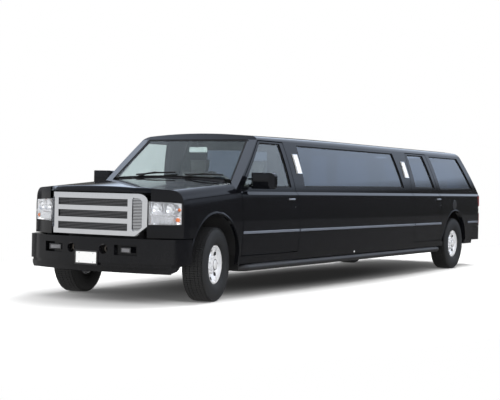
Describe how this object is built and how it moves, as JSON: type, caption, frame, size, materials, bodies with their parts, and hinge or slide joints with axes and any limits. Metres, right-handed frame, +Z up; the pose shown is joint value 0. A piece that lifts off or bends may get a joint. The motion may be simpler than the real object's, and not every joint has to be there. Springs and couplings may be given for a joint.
{
  "type": "stretch limousine",
  "caption": "Long black stretch limousine on a utility vehicle chassis, with a hollow chauffeur cab and lounge, steered front wheels, hinged doors, hood and liftgate.",
  "frame": {"origin": "on the ground below the middle of the overall length, on the plane of symmetry", "axes": "+X forward, +Y to the driver's left, +Z up"},
  "size_m": [9.314, 2.57, 1.91],
  "materials": {
    "alloy": "machined",
    "bright": "polished",
    "chassis_iron": "black coated",
    "clear_glass": "clear",
    "hide": "soft",
    "lamp": "clear lens",
    "paint": "gloss black",
    "plate": "white",
    "privacy_glass": "dark tint",
    "red_lamp": "red lens",
    "trim": "grained black",
    "tyre": "matt",
    "white_lamp": "opal"
  },
  "bodies": {
    "chassis": {"frame": "chassis_iron", "front_axle": "chassis_iron", "rear_axle": "chassis_iron", "leaf_springs": "chassis_iron", "floor_pan": "trim", "cowl": "trim", "roof": "paint", "side_left": "paint", "side_right": "paint", "fender_left": "paint", "fender_right": "paint", "grille": "bright", "radiator": "trim", "front_bumper": "trim", "rear_bumper": "trim", "front_plate": "plate", "windshield": "clear_glass", "side_glass": "privacy_glass", "headlamps": "lamp", "taillamps": "red_lamp", "running_boards": "trim", "opera_lamps": "white_lamp", "dashboard": "trim", "steering_wheel": "trim", "front_seats": "hide", "side_bench": "hide", "rear_bench": "hide", "bar_cabinet": "trim", "partition": "trim", "engine_block": "chassis_iron", "driveshaft": "chassis_iron", "exhaust": "chassis_iron", "fuel_tank": "trim"},
    "knuckle_left": {"knuckle_left": "chassis_iron"},
    "knuckle_right": {"knuckle_right": "chassis_iron"},
    "front_left_wheel": {"wheel_front_left": "alloy", "tyre_front_left": "tyre"},
    "front_right_wheel": {"wheel_front_right": "alloy", "tyre_front_right": "tyre"},
    "rear_left_wheel": {"wheel_rear_left": "alloy", "tyre_rear_left": "tyre"},
    "rear_right_wheel": {"wheel_rear_right": "alloy", "tyre_rear_right": "tyre"},
    "front_left_door": {"door_front_left": "paint", "glass_front_left": "clear_glass", "mirror_left": "trim"},
    "front_right_door": {"door_front_right": "paint", "glass_front_right": "clear_glass", "mirror_right": "trim"},
    "rear_left_door": {"door_rear_left": "paint", "glass_rear_left": "privacy_glass"},
    "rear_right_door": {"door_rear_right": "paint", "glass_rear_right": "privacy_glass"},
    "hood": {"hood": "paint"},
    "liftgate": {"liftgate": "paint", "liftgate_glass": "privacy_glass"}
  },
  "joints": [
    {"name": "steer_left", "type": "hinge", "parent": "chassis", "child": "knuckle_left", "pos_m": [3.694, 0.793, 0.402], "axis": [0, 0, 1], "range_deg": [-46, 24]},
    {"name": "steer_right", "type": "hinge", "parent": "chassis", "child": "knuckle_right", "pos_m": [3.694, -0.793, 0.402], "axis": [0, 0, 1], "range_deg": [-46, 24]},
    {"name": "spin_front_left", "type": "hinge", "parent": "knuckle_left", "child": "front_left_wheel", "pos_m": [3.67959, 0.86711, 0.402], "axis": [-0.1908, 0.9816, 0], "continuous": true},
    {"name": "spin_front_right", "type": "hinge", "parent": "knuckle_right", "child": "front_right_wheel", "pos_m": [3.70841, -0.86711, 0.402], "axis": [-0.1908, 0.9816, 0], "continuous": true},
    {"name": "spin_rear_left", "type": "hinge", "parent": "chassis", "child": "rear_left_wheel", "pos_m": [-3.344, 0.8685, 0.402], "axis": [0, 1, 0], "continuous": true},
    {"name": "spin_rear_right", "type": "hinge", "parent": "chassis", "child": "rear_right_wheel", "pos_m": [-3.344, -0.8685, 0.402], "axis": [0, 1, 0], "continuous": true},
    {"name": "open_front_left_door", "type": "hinge", "parent": "chassis", "child": "front_left_door", "pos_m": [3.168, 1.012, 0.8], "axis": [0, 0, -1], "range_deg": [0, 65]},
    {"name": "open_front_right_door", "type": "hinge", "parent": "chassis", "child": "front_right_door", "pos_m": [3.168, -1.012, 0.8], "axis": [0, 0, 1], "range_deg": [0, 65]},
    {"name": "open_rear_left_door", "type": "hinge", "parent": "chassis", "child": "rear_left_door", "pos_m": [-1.71, 1.012, 0.8], "axis": [0, 0, -1], "range_deg": [0, 65]},
    {"name": "open_rear_right_door", "type": "hinge", "parent": "chassis", "child": "rear_right_door", "pos_m": [-1.71, -1.012, 0.8], "axis": [0, 0, 1], "range_deg": [0, 65]},
    {"name": "open_hood", "type": "hinge", "parent": "chassis", "child": "hood", "pos_m": [3.204, 0, 1.275], "axis": [0, -1, 0], "range_deg": [0, 50]},
    {"name": "open_liftgate", "type": "hinge", "parent": "chassis", "child": "liftgate", "pos_m": [-3.96446, 0, 1.788], "axis": [0, 1, 0], "range_deg": [0, 80]}
  ],
  "couplings": [
    {"joint": "steer_right", "follows": "steer_left", "ratio": 1}
  ]
}
